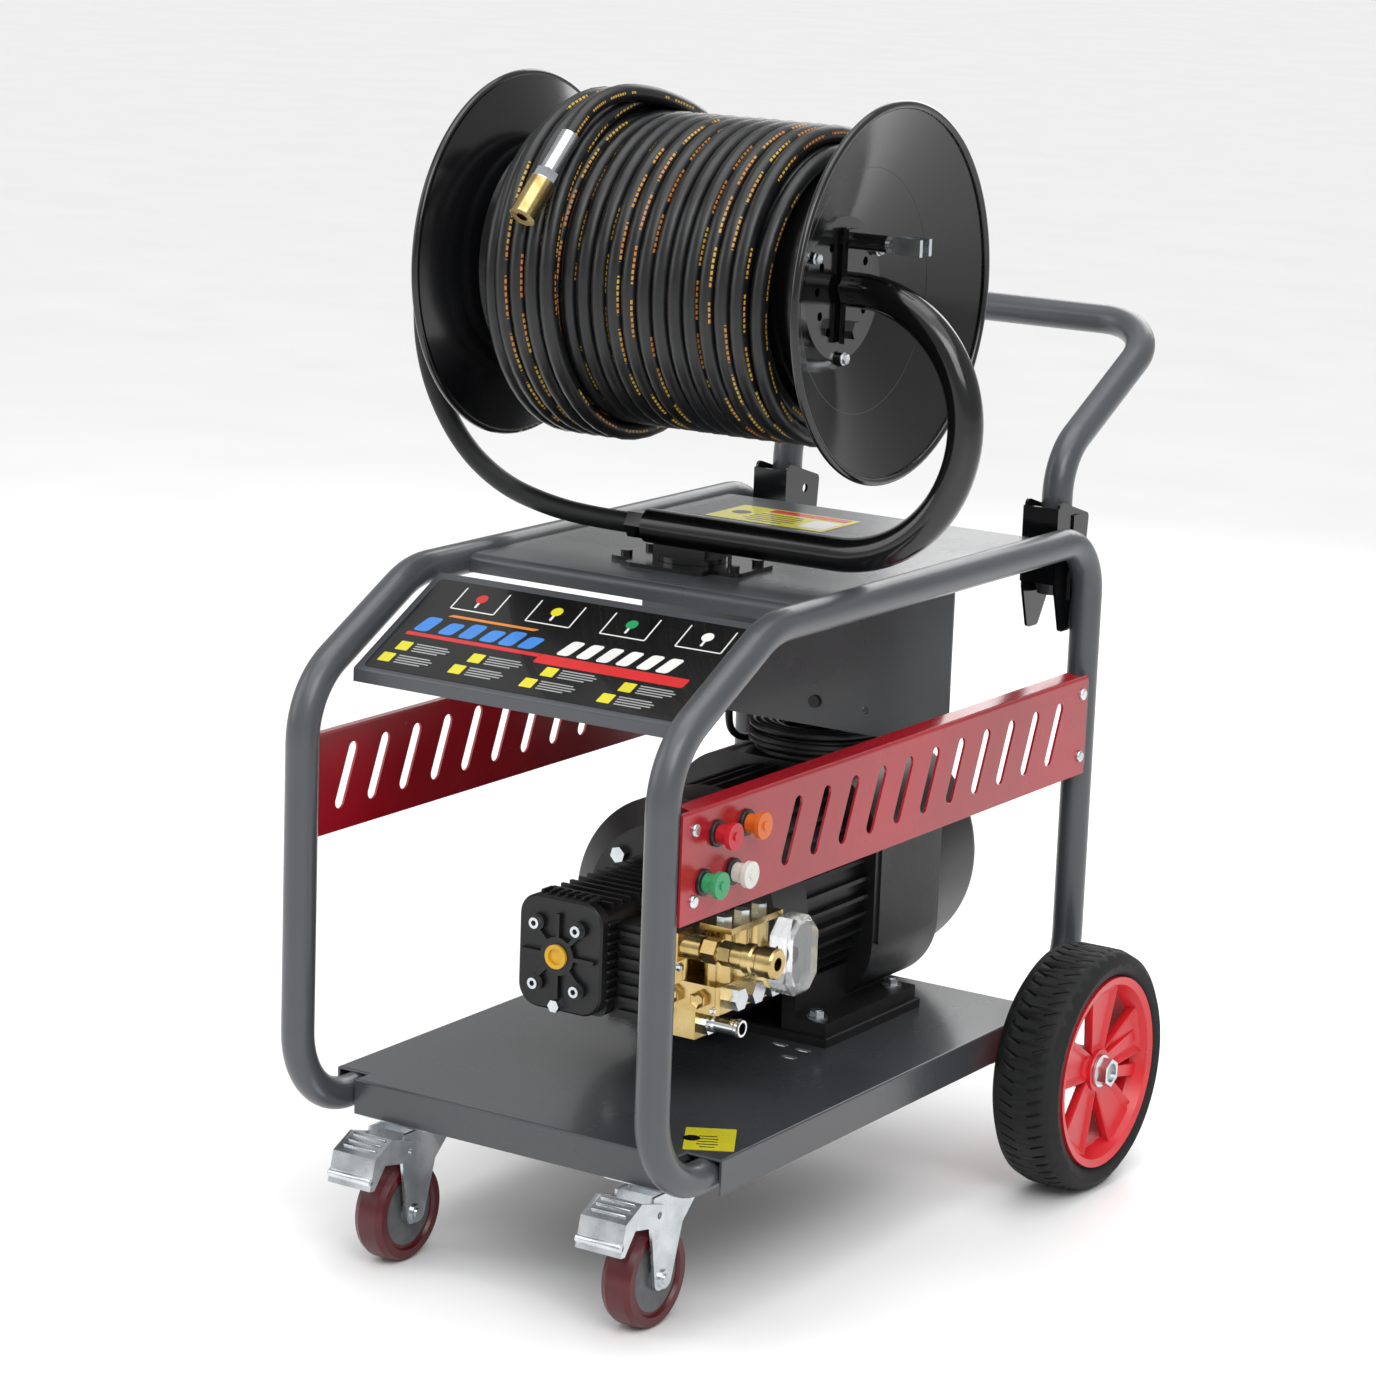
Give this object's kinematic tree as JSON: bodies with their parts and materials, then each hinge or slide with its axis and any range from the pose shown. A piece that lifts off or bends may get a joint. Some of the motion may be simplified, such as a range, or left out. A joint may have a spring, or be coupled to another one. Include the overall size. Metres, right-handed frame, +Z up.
{
  "type": "pressure washer",
  "caption": "Electric pressure washer on a four-wheeled tube cart: motor and pump on a low deck, folding handle, and a swivelling hose reel on top",
  "frame": {"origin": "on the floor, in the cart's middle plane, under the centre line of the two front posts", "axes": "+Z up, +Y from the front posts towards the handle, +X to the side of the pump outlet"},
  "size_m": [0.6554, 1.042, 1.135],
  "materials": {
    "frame_paint": "satin dark grey powder coat",
    "deck_paint": "glossy dark grey powder coat",
    "red_paint": "glossy red powder coat",
    "motor_paint": "black paint over castings",
    "reel_paint": "glossy black enamel",
    "pump_black": "black anodised casting",
    "brass": "machined brass",
    "zinc": "bright zinc plate",
    "chrome": "polished plate",
    "steel": "machined steel",
    "tyre_rubber": "moulded rubber",
    "hose_rubber": "smooth black hose cover",
    "cable_rubber": "black cable sheath",
    "black_plastic": "moulded black plastic",
    "wheel_grey": "grey tread and hub",
    "yellow_plastic": "moulded yellow plastic",
    "clear_plastic": "clear moulded plastic",
    "tip_red": "red plastic",
    "tip_orange": "orange plastic",
    "tip_green": "green plastic",
    "tip_white": "white plastic"
  },
  "bodies": {
    "cart": {"axle": "steel", "axle_nuts": "zinc", "back_plate": "deck_paint", "base_deck": "deck_paint", "bell_housing": "motor_paint", "cable_coil": "cable_rubber", "cable_glands": "black_plastic", "cable_in": "cable_rubber", "cable_out": "cable_rubber", "caster_bar": "frame_paint", "caster_plates": "zinc", "clear_cover": "clear_plastic", "control_box": "black_plastic", "crank_cover": "pump_black", "crankcase": "pump_black", "fan_cowl": "black_plastic", "handle_brackets": "frame_paint", "inlet_nipple": "chrome", "left_hoop": "frame_paint", "left_panel": "red_paint", "manifold": "brass", "motor_base": "motor_paint", "motor_bolts": "zinc", "motor_housing": "motor_paint", "oil_fittings": "yellow_plastic", "outlet_coupler": "brass", "panel_bolts": "zinc", "panel_lugs": "frame_paint", "plug": "black_plastic", "pump_fasteners": "zinc", "reel_base": "deck_paint", "right_hoop": "frame_paint", "right_panel": "red_paint", "sign_panel": "frame_paint", "tip_sockets": "black_plastic", "top_deck": "deck_paint"},
    "rotor": {"rotor": "steel"},
    "right_wheel": {"right_rim": "motor_paint", "right_tyre": "tyre_rubber"},
    "left_wheel": {"left_rim": "motor_paint", "left_tyre": "tyre_rubber"},
    "right_caster": {"right_fork": "zinc"},
    "right_caster_roll": {"right_caster_wheel": "wheel_grey"},
    "right_brake": {"right_pedal": "zinc"},
    "left_caster": {"left_fork": "zinc"},
    "left_caster_roll": {"left_caster_wheel": "wheel_grey"},
    "left_brake": {"left_pedal": "zinc"},
    "handle": {"handle": "frame_paint"},
    "reel_arm": {"main_arm": "reel_paint", "hub_elbow": "brass", "feed_hose": "hose_rubber"},
    "drum": {"reel_drum": "reel_paint", "hose_coil": "hose_rubber", "hose_tail": "hose_rubber", "hose_end": "brass"},
    "lock_pin": {"lock_pin": "zinc"},
    "red_tip": {"tip_red": "tip_red"},
    "orange_tip": {"tip_orange": "tip_orange"},
    "green_tip": {"tip_green": "tip_green"},
    "white_tip": {"tip_white": "tip_white"}
  },
  "joints": [
    {"name": "rotor_spin", "type": "hinge", "parent": "cart", "child": "rotor", "pos_m": [-0.014, 0.5, 0.313], "axis": [0, 1, 0], "continuous": true},
    {"name": "right_wheel_spin", "type": "hinge", "parent": "cart", "child": "right_wheel", "pos_m": [0.27, 0.701, 0.127], "axis": [1, 0, 0], "continuous": true},
    {"name": "left_wheel_spin", "type": "hinge", "parent": "cart", "child": "left_wheel", "pos_m": [-0.27, 0.701, 0.127], "axis": [1, 0, 0], "continuous": true},
    {"name": "right_caster_swivel", "type": "hinge", "parent": "cart", "child": "right_caster", "pos_m": [0.144, 0.122, 0.13], "axis": [0, 0, 1], "continuous": true},
    {"name": "right_caster_spin", "type": "hinge", "parent": "right_caster", "child": "right_caster_roll", "pos_m": [0.144, 0.086, 0.05], "axis": [1, 0, 0], "continuous": true},
    {"name": "right_brake_press", "type": "hinge", "parent": "right_caster", "child": "right_brake", "pos_m": [0.144, 0.071, 0.1172], "axis": [1, 0, 0], "range_deg": [0, 12]},
    {"name": "left_caster_swivel", "type": "hinge", "parent": "cart", "child": "left_caster", "pos_m": [-0.144, 0.122, 0.13], "axis": [0, 0, 1], "continuous": true},
    {"name": "left_caster_spin", "type": "hinge", "parent": "left_caster", "child": "left_caster_roll", "pos_m": [-0.144, 0.086, 0.05], "axis": [1, 0, 0], "continuous": true},
    {"name": "left_brake_press", "type": "hinge", "parent": "left_caster", "child": "left_brake", "pos_m": [-0.144, 0.071, 0.1172], "axis": [1, 0, 0], "range_deg": [0, 12]},
    {"name": "handle_fold", "type": "hinge", "parent": "cart", "child": "handle", "pos_m": [0, 0.792, 0.625], "axis": [-1, 0, 0], "range_deg": [0, 115]},
    {"name": "reel_swivel", "type": "hinge", "parent": "cart", "child": "reel_arm", "pos_m": [0, 0.35, 0.68], "axis": [0, 0, 1], "continuous": true},
    {"name": "drum_spin", "type": "hinge", "parent": "reel_arm", "child": "drum", "pos_m": [0, 0.35, 0.955], "axis": [1, 0, 0], "continuous": true},
    {"name": "lock_slide", "type": "slide", "parent": "reel_arm", "child": "lock_pin", "axis": [-1, 0, 0], "range_m": [0, 0.009]},
    {"name": "red_tip_pull", "type": "slide", "parent": "cart", "child": "red_tip", "axis": [1, 0, 0], "range_m": [0, 0.04]},
    {"name": "orange_tip_pull", "type": "slide", "parent": "cart", "child": "orange_tip", "axis": [1, 0, 0], "range_m": [0, 0.04]},
    {"name": "green_tip_pull", "type": "slide", "parent": "cart", "child": "green_tip", "axis": [1, 0, 0], "range_m": [0, 0.04]},
    {"name": "white_tip_pull", "type": "slide", "parent": "cart", "child": "white_tip", "axis": [1, 0, 0], "range_m": [0, 0.04]}
  ]
}
